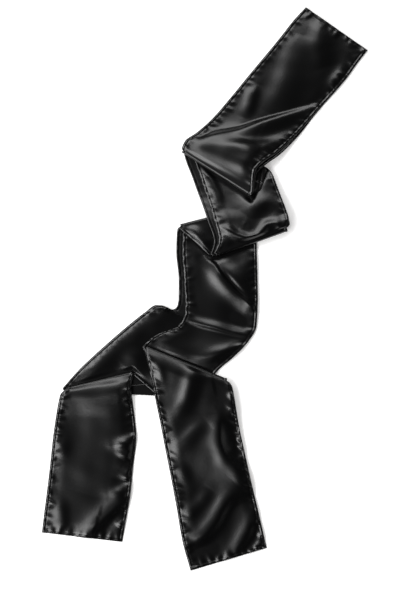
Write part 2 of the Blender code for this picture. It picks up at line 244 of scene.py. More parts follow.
# The under length alone: the bridge to the left, folds 7 and 8, and the left tail.
UNDER_ALONE = [
    Across((-35.3, -21.7), (54.0, -42.0), FLAT, 0.0),
    Across((-41.5, -26.1), (40.0, -72.0), FLAT, 0.0),
    Across((-54.0, -20.9), (30.0, -80.0), FLAT, 0.0),
    Across((-62.0, -20.4), (22.0, -86.0), FLAT, 0.0),
    Across((-76.5, -29.7), (8.0, -95.0), FLAT, 0.0),
    Across((-95.8, -44.8), (-8.0, -105.0), FLAT, 0.0),
    Across((-127.8, -72.4), (-25.3, -119.2), FLAT, 0.0),
    Across((-159.9, -102.2), (-39.4, -130.0), FLAT, 0.0),
    Fold((-184.9, -130.7), (-57.3, -136.5), FLAT, FLAT_SECOND, "up", 0.0),
    Fold((-182.9, -128.1), (-90.0, -105.3), FLAT_SECOND, (THIRD_PLY, 5.1), "up", 0.0),
    Across((-185.1, -135.8), (-93.8, -124.3), (THIRD_PLY, 4.6), 0.0),
    Across((-187.0, -144.2), (-91.9, -143.5), (3.5, 3.7), 0.0),
    Across((-190.9, -165.3), (-89.1, -166.6), (1.2, 1.2), 0.0),
    Across((-194.5, -191.0), (-87.2, -189.7), FLAT, 0.0),
    Across((-198.2, -225.6), (-91.2, -225.6), FLAT, 0.0),
    Across((-202.8, -264.3), (-95.1, -265.3), FLAT, 0.0),
    Across((-205.8, -287.1), (-99.2, -288.4), FLAT, 0.0),
    Across((-208.7, -311.8), (-105.5, -324.0), FLAT, 0.0),
]

# The creases of each part, their places in whole millimetres
RIDGES = [
    # top upper: sharp ridge from the left pinch to the right hem
    Ridge("top_upper", 6.4, 13.5, [
        (-21, 186, 0.8), (-6, 188, 1.8), (20, 196, 3.2), (45, 201, 3.6), (73, 211, 3.6),
        (103, 220, 3.0), (143, 232, 1.4),
    ], "sharp"),
    # top upper: soft swell below it
    Ridge("top_upper", 7.7, 10.3, [
        (0, 181, 0.5), (26, 181, 1.8), (52, 181, 2.4), (80, 183, 2.4), (104, 195, 2.0),
        (120, 205, 0.5),
    ]),
    # top upper: long swell down the middle
    Ridge("top_upper", 20.5, 15.4, [
        (118, 327, 0.6), (112, 306, 2.6), (108, 286, 3.2), (103, 265, 3.6), (95, 245, 3.0),
        (84, 224, 1.0),
    ]),
    # top upper: short swell by the left hem
    Ridge("top_upper", 7.7, 9.0, [
        (66, 263, 0.5), (61, 250, 2.5), (57, 235, 2.8), (50, 219, 0.5),
    ]),
    # top upper: broad swell by the sewn end
    Ridge("top_upper", 17.9, 12.8, [
        (152, 340, 0.8), (147, 328, 3.2), (145, 314, 4.0), (148, 300, 3.0), (153, 283, 0.6),
    ]),
    # top upper: roll above fold 1
    Ridge("top_upper", 26.9, 16.0, [
        (-21, 185, 0.6), (4, 178, 2.6), (29, 171, 5.6), (49, 163, 7.2), (66, 158, 5.0),
    ]),
    # top upper: swell by the right hem
    Ridge("top_upper", 7.7, 6.4, [(179, 286, 0.5), (167, 268, 2.5), (156, 253, 0.5)]),
    # top middle: wavy ridge
    Ridge("top_middle", 5.8, 5.1, [
        (18, 77, 1.4), (31, 74, 2.6), (43, 68, 3.1), (57, 64, 3.2), (66, 66, 3.1), (73, 74, 2.9),
        (81, 82, 2.7), (90, 83, 2.6), (98, 78, 2.5), (104, 90, 1.6),
    ]),
    # top middle: slope up to the wavy ridge
    Ridge("top_middle", 20.5, 6.4, [
        (30, 72, 0.6), (48, 64, 2.2), (62, 64, 2.4), (75, 73, 1.0), (86, 78, 0.3),
    ]),
    # top middle: soft arc
    Ridge("top_middle", 15.4, 9.0, [
        (57, 91, 0.8), (66, 105, 2.2), (80, 111, 2.6), (93, 106, 2.2), (98, 95, 0.8),
    ]),
    # top middle: upper puff along the left hem
    Ridge("top_middle", 6.4, 7.7, [
        (-1, 164, 1.5), (4, 147, 2.6), (11, 132, 3.0), (16, 119, 2.6), (18, 108, 1.0),
    ]),
    # top middle: lower puff along the left hem
    Ridge("top_middle", 9.0, 9.0, [
        (17, 104, 1.0), (23, 90, 1.8), (29, 76, 2.2), (27, 60, 1.8), (23, 49, 0.5),
    ]),
    # top middle: swell by the tip of fold 1
    Ridge("top_middle", 14.1, 15.4, [
        (67, 128, 0.6), (77, 136, 2.0), (89, 140, 2.4), (99, 136, 1.0),
    ]),
    # top middle: broad rise in the middle
    Ridge("top_middle", 19.2, 16.7, [
        (54, 130, 0.3), (62, 115, 1.6), (66, 103, 2.4), (67, 90, 0.5),
    ]),
    # top lower: long ridge
    Ridge("top_lower", 4.1, 12.8, [
        (2, 46, 1.2), (11, 32, 3.8), (22, 15, 5.5), (34, 1, 5.5), (47, -11, 5.5), (57, -20, 4.6),
        (64, -27, 1.5),
    ]),
    # top lower: narrow ridge beside it
    Ridge("top_lower", 10.3, 5.8, [
        (14, 41, 0.2), (27, 26, 2.6), (40, 12, 3.6), (53, -5, 3.4), (63, -22, 1.5),
    ]),
    # top lower: ridge across
    Ridge("top_lower", 7.1, 3.8, [
        (-24, -38, 1.2), (-6, -44, 2.8), (14, -49, 3.3), (35, -55, 3.3), (54, -59, 2.2),
    ]),
    # top lower: soft arc above fold 5
    Ridge("top_lower", 7.7, 9.0, [
        (-16, -96, 0.2), (-2, -88, 1.0), (16, -82, 2.2), (35, -78, 2.6), (53, -67, 1.0),
    ]),
    # top lower: soft band
    Ridge("top_lower", 15.4, 9.0, [
        (-51, -79, 0.6), (-25, -82, 2.0), (7, -82, 2.2), (41, -73, 1.0),
    ]),
    # top lower: upper right swell
    Ridge("top_lower", 11.5, 10.3, [(53, 47, 0.5), (56, 30, 2.0), (58, 6, 0.5)]),
    # right tail: streak below the corner
    Ridge("right_tail", 11.5, 9.6, [
        (-15, -101, 1.6), (-18, -117, 3.2), (-23, -135, 3.6), (-30, -150, 3.4), (-41, -163, 2.2),
        (-53, -173, 0.6),
    ]),
    # right tail: band from the corner
    Ridge("right_tail", 6.4, 7.7, [
        (-71, -81, 0.4), (-62, -94, 1.1), (-57, -111, 1.0), (-56, -132, 0.3),
    ]),
    # right tail: long slope up to the central crest
    Ridge("right_tail", 14.1, 39.7, [
        (14, -142, 1.0), (17, -168, 3.6), (18, -191, 6.4), (23, -209, 7.2), (35, -224, 7.2),
        (48, -238, 6.4), (58, -251, 4.6), (66, -264, 1.0),
    ]),
    # right tail: central crest
    Ridge("right_tail", 6.4, 11.5, [
        (16, -158, 0.5), (17, -173, 3.0), (18, -194, 3.2), (23, -210, 2.4), (34, -224, 2.0),
        (45, -238, 1.6), (57, -250, 0.4),
    ]),
    # right tail: left branch
    Ridge("right_tail", 9.0, 10.3, [
        (-48, -214, 0.2), (-36, -204, 1.4), (-24, -192, 2.3), (-11, -179, 2.0), (2, -168, 0.4),
    ]),
    # right tail: puff by the right hem
    Ridge("right_tail", 6.4, 5.1, [
        (45, -168, 0.5), (48, -183, 3.0), (50, -201, 3.5), (53, -218, 0.5),
    ]),
    # right tail: small swell by the right hem
    Ridge("right_tail", 9.0, 6.4, [(34, -137, 0.5), (34, -150, 1.6), (31, -163, 0.5)]),
    # right tail: low ridge
    Ridge("right_tail", 9.0, 9.0, [
        (-30, -292, 0.5), (-16, -283, 2.2), (-3, -270, 2.4), (6, -256, 0.5),
    ]),
    # right tail: lower ridge
    Ridge("right_tail", 12.2, 10.3, [
        (-20, -326, 1.5), (-2, -314, 4.8), (12, -297, 5.6), (22, -277, 5.0), (32, -263, 3.0),
        (43, -251, 0.5),
    ]),
    # right tail: end ridge
    Ridge("right_tail", 10.3, 9.0, [
        (32, -344, 1.5), (44, -326, 3.2), (54, -308, 3.7), (62, -291, 3.0), (66, -276, 1.0),
    ]),
    # right tail: crescent in the corner
    Ridge("right_tail", 5.1, 5.1, [
        (54, -338, 0.5), (68, -328, 2.5), (73, -315, 2.5), (72, -300, 0.5),
    ]),
    # right tail: swell at the left hem
    Ridge("right_tail", 7.7, 9.0, [(-37, -222, 0.5), (-27, -237, 1.6), (-21, -255, 0.5)]),
    # left tail: roll under fold 8
    Ridge("left_tail", 11.5, 12.8, [
        (-184, -144, 0.6), (-162, -136, 1.0), (-137, -131, 1.4), (-114, -128, 2.6),
        (-101, -131, 3.0), (-94, -140, 1.0),
    ]),
    # left tail: long slant
    Ridge("left_tail", 9.0, 14.1, [
        (-98, -263, 3.0), (-109, -273, 5.5), (-123, -285, 5.5), (-137, -299, 5.5),
        (-150, -313, 4.0), (-160, -323, 1.0),
    ]),
    # left tail: upper pinch
    Ridge("left_tail", 6.4, 7.7, [(-92, -191, 2.5), (-102, -196, 3.5), (-118, -199, 1.0)]),
    # left tail: upper pinch lower arm
    Ridge("left_tail", 5.1, 11.5, [
        (-94, -195, 0.8), (-97, -204, 3.0), (-100, -213, 3.0), (-103, -219, 0.6),
    ]),
    # left tail: middle puff
    Ridge("left_tail", 5.1, 11.5, [
        (-97, -220, 0.6), (-98, -229, 3.0), (-100, -238, 3.0), (-102, -246, 0.5),
    ]),
    # left tail: lower pinch
    Ridge("left_tail", 6.4, 7.7, [(-98, -254, 2.0), (-109, -259, 2.4), (-124, -261, 0.6)]),
    # left tail: puff at the end
    Ridge("left_tail", 6.4, 9.0, [
        (-102, -282, 0.8), (-106, -296, 2.2), (-111, -309, 2.0), (-120, -320, 0.5),
    ]),
    # left tail: wedge at the left corner
    Ridge("left_tail", 7.7, 11.5, [
        (-188, -268, 0.5), (-184, -283, 2.2), (-183, -299, 2.0), (-186, -314, 0.5),
    ]),
    # left tail: broad rise down the middle
    Ridge("left_tail", 15.4, 43.6, [
        (-109, -147, 0.2), (-110, -176, 2.6), (-112, -204, 3.6), (-119, -237, 3.4),
        (-129, -270, 1.0),
    ]),
    # left tail: swell at the left hem
    Ridge("left_tail", 9.0, 7.7, [(-183, -183, 0.5), (-183, -201, 2.5), (-186, -217, 0.5)]),
    # under turnback: roll beside fold 4
    Ridge("under_turnback", 6.4, 5.1, [
        (-23, 80, 0.5), (-12, 72, 2.2), (-2, 60, 2.6), (4, 51, 1.0),
    ]),
    # under lower: rise along the upper hem
    Ridge("under_lower", 17.9, 10.3, [
        (-60, -31, 2.6), (-74, -41, 3.0), (-100, -63, 3.4), (-129, -88, 3.4), (-152, -108, 2.6),
        (-168, -120, 0.9),
    ]),
    # under lower: hump
    Ridge("under_lower", 5.1, 9.0, [
        (-44, -27, 1.0), (-52, -24, 4.0), (-62, -24, 4.0), (-71, -29, 1.5),
    ]),
    # under lower: soft rise in the middle
    Ridge("under_lower", 14.1, 14.1, [
        (-88, -70, 0.5), (-88, -88, 3.5), (-94, -104, 3.5), (-106, -114, 0.5),
    ]),
]

# Where another layer covers a part: relief dies away as it nears the line, on the far side of
# which it is flat. The cover lies above the line (side 1) or below it (side -1).
Cover = namedtuple("Cover", "part side fade line")

COVERS = [
    Cover("top_middle", 1, 9.0, [
        (-40, 182), (-31, 177), (59, 115), (66, 128), (82, 158), (90, 165),
    ]),
    Cover("top_lower", 1, 9.0, [(-40, 92), (-32, 82), (5, 43), (13, 39), (108, 73)]),
    Cover("top_lower", -1, 7.0, [(-82, -71), (34, -118), (36, -200)]),
    Cover("under_lower", -1, 7.0, [(-185, -129), (-92, -104), (-56, -138), (-50, -150)]),
]

# The hems of each part: how high its puckers may stand, and the seed of its swells and its
# left hem's puckers. The right hem and a sewn end take the next two seeds.
Hems = namedtuple("Hems", "pucker_height seed")

HEMS = {
    "top_upper": Hems(1.5, 11),
    "top_middle": Hems(1.3, 21),
    "top_lower": Hems(1.5, 31),
    "right_tail": Hems(2.0, 41),
    "under_upper": Hems(0.4, 51),
    "under_middle": Hems(0.4, 61),
    "under_turnback": Hems(0.5, 71),
    "under_lower": Hems(0.7, 81),
    "left_tail": Hems(1.9, 91),
}

# A stretch of one length: the ends of each line along the middle of its wall, how far the
# line is from the nearest fold (0 in the fold itself), and how far it is from a sewn end.
Path = namedtuple("Path", "left right from_fold from_end")

# How far each point of a shell is from each hem, from a sewn end, and from the nearest of them.
HemDistance = namedtuple("HemDistance", "left right end nearest")


def unit(vectors):
    """The vectors, each made one long."""
    return vectors / np.linalg.norm(vectors, axis=-1, keepdims=True)


def eased(x):
    """From 0 to 1 as x goes from 0 to 1, level at both ends."""
    x = np.clip(x, 0, 1)
    return x * x * (3 - 2 * x)


def run_along(points):
    """How far each point of a line is from its start, along the line."""
    return np.concatenate([[0], np.cumsum(np.linalg.norm(np.diff(points, axis=0), axis=1))])


def smooth_through(places, values, at):
    """A curve through the values with no overshoot, read at the places asked for."""
    places = np.asarray(places, float)
    values = np.asarray(values, float)
    widths = np.diff(places)
    slopes = np.diff(values, axis=0) / widths[:, None]
    inner = np.zeros_like(slopes[1:])
    same_sign = slopes[1:] * slopes[:-1] > 0
    before, after = slopes[:-1][same_sign], slopes[1:][same_sign]
    inner[same_sign] = 2 * before * after / (before + after)
    tangents = np.vstack([slopes[:1], inner, slopes[-1:]])
    index = np.clip(np.searchsorted(places, at, side="right") - 1, 0, len(widths) - 1)
    width = widths[index][:, None]
    t = ((at - places[index])[:, None]) / width
    start, end = values[index], values[index + 1]
    lead, trail = tangents[index] * width, tangents[index + 1] * width
    return (
        (2 * t**3 - 3 * t**2 + 1) * start
        + (t**3 - 2 * t**2 + t) * lead
        + (3 * t**2 - 2 * t**3) * end
        + (t**3 - t**2) * trail
    )


# The lines that the cloth is swept along


def fold_lines(fold, travel):
    """The straight lines of a half turn, a cone that opens from one end to the other."""
    ends = np.array([fold.left, fold.right], float)
    along = unit(ends[1] - ends[0])
    outward = np.array([along[1], -along[0]])
    if outward @ travel < 0:
        outward = -outward
    lower, upper = np.array(fold.lower), np.array(fold.upper)
    radius = (upper - lower) / 2
    middle = (upper + lower) / 2
    sign = 1 if fold.way == "down" else -1
    lines = []
    for step in range(FOLD_STEPS + 1):
        angle = sign * math.pi * (0.5 - step / FOLD_STEPS)
        out = radius * (math.cos(angle) - 1)
        plan = ends + out[:, None] * outward
        height = middle + radius * math.sin(angle)
        lines.append((*plan[0], height[0], *plan[1], height[1], fold.shift))
    return lines


def sheet_lines(rows):
    """Lines every few millimetres through the rows of one sheet between two folds."""
    rows = np.array(rows)
    left_way = np.linalg.norm(np.diff(rows[:, :3], axis=0), axis=1)
    right_way = np.linalg.norm(np.diff(rows[:, 3:6], axis=0), axis=1)
    places = np.concatenate([[0], np.cumsum((left_way + right_way) / 2)])
    found = [places[0]]
    for i, way in enumerate(np.maximum(left_way, right_way)):
        count = max(1, math.ceil(way / STEP_ALONG))
        found.extend(np.linspace(places[i], places[i + 1], count + 1)[1:])
    return smooth_through(places, rows, np.array(found))


def row_line(row):
    return (*row.left, row.height[0], *row.right, row.height[1], row.shift)


def middle_of(row):
    return (np.array(row.left) + np.array(row.right)) / 2


def centre_run(left, right):
    """How far each line is along the middle of the cloth, from its ends on both hems."""
    return run_along((left + right) / 2)


def swept_lines(table):
    """Every line of a table, and how far each is along the cloth from the nearest fold."""
    lines, from_fold = [], []
    pending = []
    after_fold = False

    def close_sheet(before_fold):
        sheet = sheet_lines(pending)
        run = centre_run(sheet[:, :3], sheet[:, 3:6])
        distance = np.full(len(sheet), np.inf)
        if after_fold:
            distance = np.minimum(distance, run)
        if before_fold:
            distance = np.minimum(distance, run[-1] - run)
        lines.extend(sheet)
        from_fold.extend(distance)

    for i, row in enumerate(table):
        if isinstance(row, Across):
            pending.append(row_line(row))
            continue
        turn = fold_lines(row, middle_of(row) - middle_of(table[i - 1]))
        pending.append(turn[0])
        close_sheet(True)
        lines.extend(turn[1:-1])
        from_fold.extend([0.0] * (FOLD_STEPS - 1))
        pending = [turn[-1]]
        after_fold = True
    close_sheet(False)
    return np.array(lines), np.array(from_fold)


def facing(left, right):
    """At both ends of each line, the direction square to the cloth, on its right side."""
    across = unit(right - left)
    found = []
    for edge in (left, right):
        ways = unit(np.diff(edge, axis=0))
        tangents = np.vstack([ways[:1], ways[:-1] + ways[1:], ways[-1:]])
        found.append(unit(np.cross(tangents, across)))
    return found


def with_hem_lines(left, right, fade):
    """Extra lines close to the sewn start and end of a length."""
    total = len(left)
    places = np.arange(total, dtype=float)
    run = centre_run(left, right)
    near, clear = np.array(HEM_COLUMNS[:END_LINES]), HEM_COLUMNS[END_LINES]
    near_start = np.interp(near, run, places)
    near_end = np.interp(run[-1] - near, run, places)
    kept = places[(run > clear) & (run < run[-1] - clear)]
    at = np.concatenate([near_start, kept, near_end[::-1]])
    low = np.minimum(at.astype(int), total - 2)
    t = (at - low)[:, None]
    left = left[low] * (1 - t) + left[low + 1] * t
    right = right[low] * (1 - t) + right[low + 1] * t
    return left, right, fade[np.rint(at).astype(int)]


def with_round_corners(left, right, fade, radii):
    """The hems drawn in beside each fold, so that its corners are round in plan."""
    inwards = unit(right - left)
    spans = fold_spans(fade)
    drawn = []
    for edge, way, end in ((left, inwards, 0), (right, -inwards, 1)):
        run = run_along(edge)
        pull = np.zeros(len(edge))
        for (first, last), ends in zip(spans, radii):
            outside = np.maximum(np.maximum(run[first] - run, run - run[last]), 0)
            short = np.clip(1 - outside / ends[end], 0, 1)
            pull = np.maximum(pull, ends[end] * (1 - np.sqrt(1 - short**2)))
        drawn.append(edge + pull[:, None] * way)
    return drawn


def length_path(pair, pair_fade, alone, side, corners):
    """One length from the pair's lines and then its own: side is 1 on top and -1 beneath."""
    left, right, shift = pair[:, :3], pair[:, 3:6], pair[:, 6]
    left_up, right_up = facing(left, right)
    slide = (shift if side < 0 else 0 * shift)[:, None] * unit(right - left)
    left = left + slide + side * PLY_OFFSET * left_up
    right = right + slide + side * PLY_OFFSET * right_up
    first = Across(left[-1, :2], right[-1, :2], (left[-1, 2], right[-1, 2]), 0.0)
    own, own_fade = swept_lines([first, *alone])
    left = np.vstack([left, own[1:, :3]])
    right = np.vstack([right, own[1:, 3:6]])
    fade = np.concatenate([pair_fade, own_fade[1:]])
    left, right = with_round_corners(left, right, fade, PAIR_CORNERS + corners)
    left, right, fade = with_hem_lines(left, right, fade)
    run = centre_run(left, right)
    return Path(left, right, fade, np.minimum(run, run[-1] - run))


def cut(path, start, end):
    """The lines of a path from one to another, drawn in by half the gap at a cut end."""
    left, right = path.left[start : end + 1].copy(), path.right[start : end + 1].copy()
    for edge in (left, right):
        if start > 0:
            edge[0] += unit(edge[1] - edge[0]) * CUT_GAP / 2
        if end < len(path.left) - 1:
            edge[-1] += unit(edge[-2] - edge[-1]) * CUT_GAP / 2
    return Path(left, right, path.from_fold[start : end + 1], path.from_end[start : end + 1])


def fold_spans(from_fold):
    """First and last line of each half turn."""
    turning = np.flatnonzero(from_fold == 0)
    breaks = np.flatnonzero(np.diff(turning) > 1)
    starts = [turning[0], *turning[breaks + 1]]
    ends = [*turning[breaks], turning[-1]]
    return list(zip(starts, ends))


def between(first_fold, second_fold):
    """The line halfway along the sheet between two folds."""
    return (first_fold[1] + second_fold[0]) // 2


# Relief: creases, puckers and the sewn hem


def crease_height(points, ridge):
    """How high one crease lifts each point in plan: a bell across a smooth line.

    A sharp one is an arch on its left side, which ends in a clear break.
    """
    line = np.array(ridge.line, float)
    places = run_along(line[:, :2])
    at = np.linspace(0, places[-1], CREASE_STEPS * (len(line) - 1))
    line = smooth_through(places, line, at)
    nearest = np.full(points.shape[:-1], np.inf)
    found = np.zeros(points.shape[:-1])
    for start, end in zip(line[:-1], line[1:]):
        way = end[:2] - start[:2]
        t = np.clip(((points - start[:2]) @ way) / (way @ way), 0, 1)
        offset = points - (start[:2] + t[..., None] * way)
        gap = np.linalg.norm(offset, axis=-1)
        on_left = way[0] * offset[..., 1] - way[1] * offset[..., 0] > 0
        reach = np.where(on_left, ridge.reach_left, ridge.reach_right)
        share = np.exp(-((gap / reach) ** 2))
        if ridge.foot == "sharp":
            share = np.where(on_left, np.clip(1 - (gap / reach) ** 2, 0, 1), share)
        found = np.where(gap < nearest, (start[2] + (end[2] - start[2]) * t) * share, found)
        nearest = np.minimum(gap, nearest)
    return found


def soft_swell(seed, points):
    """The unevenness of slack cloth: a few long and a few short waves, each its own way."""
    chance = np.random.default_rng(seed)
    height = np.zeros(points.shape[:-1])
    for tall, lengths in (LONG_SWELL, SHORT_SWELL):
        for _ in range(SWELL_WAVES):
            angle = chance.uniform(0, math.pi)
            length = chance.uniform(*lengths)
            phase = chance.uniform(0, 2 * math.pi)
            along = points[..., 0] * math.cos(angle) + points[..., 1] * math.sin(angle)
            height += tall / math.sqrt(SWELL_WAVES) * np.sin(2 * math.pi * along / length + phase)
    return height


def fold_roll(part, path):
    """How far a tail rises from its fold, along its path: fast at first, then less and less."""
    if part not in ROLLED_PARTS:
        return np.zeros(len(path.from_fold))
    rise = ROLL_HEIGHT * (1 - np.exp(-path.from_fold / ROLL_REACH))
    return rise * np.exp(-((path.from_fold / ROLL_TAIL) ** 2))


def cover_share(part, points, slower=1.0):
    """1 where a part lies open, 0 where another layer covers it."""
    share = np.ones(points.shape[:-1])
    for cover in COVERS:
        if cover.part == part:
            line = np.array(cover.line, float)
            edge = np.interp(points[..., 0], line[:, 0], line[:, 1])
            share *= eased(cover.side * (edge - points[..., 1]) / (slower * cover.fade))
    return share


def showing_sheet(part, path):
    """Which lines of a part lie on its face that shows, between its folds."""
    folds = np.flatnonzero(path.from_fold == 0)
    index = np.arange(len(path.left))
    if part in ("top_upper", "under_upper"):
        return index < folds[0]
    if part in ("right_tail", "left_tail"):
        return index > folds[-1]
    widest = int(np.argmax(np.diff(folds)))
    return (index > folds[widest]) & (index < folds[widest + 1])


def creases(part, path, points, hem_distance):
    """The relief of a part: slack over its hems, slow swells and creases, where it lies open."""
    plan = points[..., :2]
    swell = soft_swell(HEMS[part].seed, plan)
    heights = eased(hem_distance / SLACK_REACH) * (SLACK_HEIGHT + swell)
    slack_share = eased(path.from_fold / SLACK_FOLD_FADE)[:, None]
    heights *= slack_share * cover_share(part, plan, SLACK_FADE)
    fold_share = eased(path.from_fold / CREASE_FADE)[:, None]
    for ridge in RIDGES:
        if ridge.part == part:
            heights = heights + crease_height(plan, ridge) * fold_share
    heights = np.maximum(heights, 0.0)
    heights += fold_roll(part, path)[:, None] * eased(hem_distance / ROLL_REACH)
    return heights * cover_share(part, plan)


def puckers(seed, edge, hem_distance, high):
    """Short swells that run in from one hem, uneven in place, length and height."""
    chance = np.random.default_rng(seed)
    run = run_along(edge)
    heights = np.zeros_like(hem_distance)
    place = chance.uniform(0, PUCKER_PITCH[1])
    while place < run[-1]:
        reach = chance.uniform(*PUCKER_REACH)
        tall = high * chance.uniform(*PUCKER_HEIGHT)
        slant = chance.uniform(*PUCKER_SLANT)
        breadth = chance.uniform(*PUCKER_BREADTH)
        offset = (run[:, None] - place - slant * hem_distance) / breadth
        fallen = eased((hem_distance - PUCKER_FALL) / (reach - PUCKER_FALL))
        inwards = eased(hem_distance / PUCKER_RISE) * (1 - fallen)
        heights += tall * np.exp(-offset * offset) * inwards
        place += chance.uniform(*PUCKER_PITCH)
    return heights


def wall_profile(hem_distance):
    """How far the right and the wrong side stand from the middle: seam, groove, plain cloth."""
    plain = SHELL_THICKNESS / 2
    into_seam = np.clip(hem_distance / SEAM_EDGE, 0, 1)
    rounded = np.sqrt(np.clip(1 - (1 - into_seam) ** 2, EDGE_SHARE_SQUARED, 1))
    past_seam = eased((hem_distance - SEAM_WIDTH) / SEAM_FALL)
    groove = GROOVE_DEPTH * np.exp(-(((hem_distance - STITCH_INSET) / GROOVE_REACH) ** 2))
    rise = rounded * (SEAM_RISE * (1 - past_seam) + plain * past_seam) - groove
    sink = rounded * (SEAM_SINK * (1 - past_seam) + plain * past_seam) - groove
    return rise, sink


def columns():
    """Places across the ribbon, from 0 to 1, close together near both hems."""
    hem = np.array(HEM_COLUMNS) / RIBBON_WIDTH
    middle = np.linspace(hem[-1], 1 - hem[-1], MIDDLE_COLUMNS + 2)[1:-1]
    return np.concatenate([hem, middle, 1 - hem[::-1]])


def hem_distances(path):
    """How far each point of a part's shell is from its hems and its sewn end."""
    share = columns()[None, :]
    width = np.linalg.norm(path.right - path.left, axis=1)[:, None]
    left, right = width * share, width * (1 - share)
    end = np.repeat(path.from_end[:, None], share.shape[1], axis=1)
    return HemDistance(left, right, end, np.minimum(np.minimum(left, right), end))


def end_puckers(seed, path, distance, high):
    """Puckers along a sewn end, across the ribbon."""
    if path.from_end.min() > 0:
        return np.zeros_like(distance.left)
    first = path.from_end[0] == 0
    row = distance.left[0] if first else distance.left[-1]
    edge = np.column_stack([row, 0 * row, 0 * row])
    return puckers(seed, edge, distance.end.T, high).T


def hem_puckers(part, path, points, distance):
    """The puckers of a part's hems and sewn end, lower where another layer covers it."""
    high, seed = HEMS[part]
    pucker = puckers(seed, path.left, distance.left, high)
    pucker += puckers(seed + 1, path.right, distance.right, high)
    pucker += end_puckers(seed + 2, path, distance, high)
    open_share = COVERED_PUCKERS + (1 - COVERED_PUCKERS) * cover_share(part, points[..., :2])
    pucker = np.minimum(pucker, PUCKER_LIMIT) * open_share
    return pucker * eased(path.from_fold / PUCKER_FADE)[:, None]


def relief(part, path, points, up, distance):
    """How far each point is moved along its way up, on the sheet that shows."""
    lift = creases(part, path, points, distance.nearest)
    lift = lift + hem_puckers(part, path, points, distance)
    lift = np.where(showing_sheet(part, path)[:, None], lift, 0.0)
    if part == "under_turnback":
        # This sheet lies wrong side up, so its relief rises on that side.
        lift = np.where(up[..., 2] < 0, -lift, lift)
    return lift


def shell_surfaces(part, path):
    """The right and the wrong side of a part's shell, as grids of points, and its way up."""
    share = columns()[None, :, None]
    left_up, right_up = facing(path.left, path.right)
    middle = path.left[:, None] * (1 - share) + path.right[:, None] * share
    up = unit(left_up[:, None] * (1 - share) + right_up[:, None] * share)
    distance = hem_distances(path)
    lift = relief(part, path, middle, up, distance)
    rise, sink = wall_profile(distance.nearest)
    outer = middle + up * (lift + rise)[..., None]
    inner = middle + up * (lift - sink)[..., None]
    return outer, inner, up


def grid_faces(rows, count):
    """Faces of the right side, the wrong side, both hems and both ends of a shell."""
    i, j = np.meshgrid(np.arange(rows - 1), np.arange(count - 1), indexing="ij")
    a = (i * count + j).ravel()
    right_side = np.column_stack([a, a + count, a + count + 1, a + 1])
    wrong_side = right_side[:, ::-1] + rows * count
    under = rows * count
    down = np.arange(rows - 1) * count
    left_hem = np.column_stack([down, down + under, down + count + under, down + count])
    right_hem = left_hem[:, ::-1] + count - 1
    over = np.arange(count - 1)
    start = np.column_stack([over, over + 1, over + 1 + under, over + under])
    end = start[:, ::-1] + (rows - 1) * count
    return np.vstack([right_side, wrong_side, left_hem, right_hem, start, end])


def mesh_object(name, corners, faces, material):
    mesh = bpy.data.meshes.new(name)
    mesh.from_pydata((corners * MM).tolist(), [], faces.tolist())
    mesh.polygons.foreach_set("use_smooth", [True] * len(mesh.polygons))
    mesh.materials.append(material)
    mesh.update()
    shown = bpy.data.objects.new(name, mesh)
    bpy.context.scene.collection.objects.link(shown)
    return shown


def lay_weave_map(shown, path):
    """A flat map of the cloth in metres, for the weave: across and along the ribbon."""
    across = columns() * RIBBON_WIDTH * MM
    along = centre_run(path.left, path.right) * MM
    flat = np.stack(np.broadcast_arrays(across[None, :], along[:, None]), axis=-1).reshape(-1, 2)
    flat = np.vstack([flat, flat])
    layer = shown.data.uv_layers.new(name="weave")
    corner_of = np.empty(len(shown.data.loops), np.int32)
    shown.data.loops.foreach_get("vertex_index", corner_of)
    layer.data.foreach_set("uv", flat[corner_of].ravel())


# Stitches


def stitch_corners(points, ups):
    """One stitch: a thin thread laid through a few points, pointed at both ends."""
    ways = unit(np.gradient(points, axis=0))
    side = unit(np.cross(ways, ups))
    rise = np.cross(side, ways)
    radius = STITCH_RADIUS * np.array(STITCH_THICKNESS)
    angles = np.linspace(0, 2 * math.pi, STITCH_SIDES + 1)[:-1, None]
    ring = np.cos(angles) * side[:, None] + np.sin(angles) * rise[:, None]
    return (points[:, None] + ring * radius[:, None, None]).reshape(-1, 3)


def stitch_faces():
    """The faces of one stitch, from each ring of corners to the next."""
    faces = []
    for ring in range(len(STITCH_PLACES) - 1):
        for k in range(STITCH_SIDES):
            a = ring * STITCH_SIDES + k
            b = ring * STITCH_SIDES + (k + 1) % STITCH_SIDES
            faces.append((a, b, b + STITCH_SIDES, a + STITCH_SIDES))
    return faces


def seam_lines(surface, up, path):
    """The stitch line of a surface, and the way out of the cloth, along hems and sewn end."""
    width = np.linalg.norm(path.right - path.left, axis=1)
    places = columns()
    rows = np.arange(len(surface))
    away_from_end = path.from_end >= STITCH_INSET - SAME_PLACE
    lines = []
    for inset in (STITCH_INSET / width, 1 - STITCH_INSET / width):
        low = np.clip(np.searchsorted(places, inset) - 1, 0, len(places) - 2)
        t = ((inset - places[low]) / (places[low + 1] - places[low]))[:, None]
        line = surface[rows, low] * (1 - t) + surface[rows, low + 1] * t
        lines.append((line[away_from_end], up[rows, low][away_from_end]))
    if path.from_end.min() == 0:
        from_hem = np.minimum(places, 1 - places) * RIBBON_WIDTH
        inside = from_hem > STITCH_INSET
        row = int(np.argmin(np.abs(path.from_end - STITCH_INSET)))
        lines.append((surface[row, inside], up[row, inside]))
    return lines


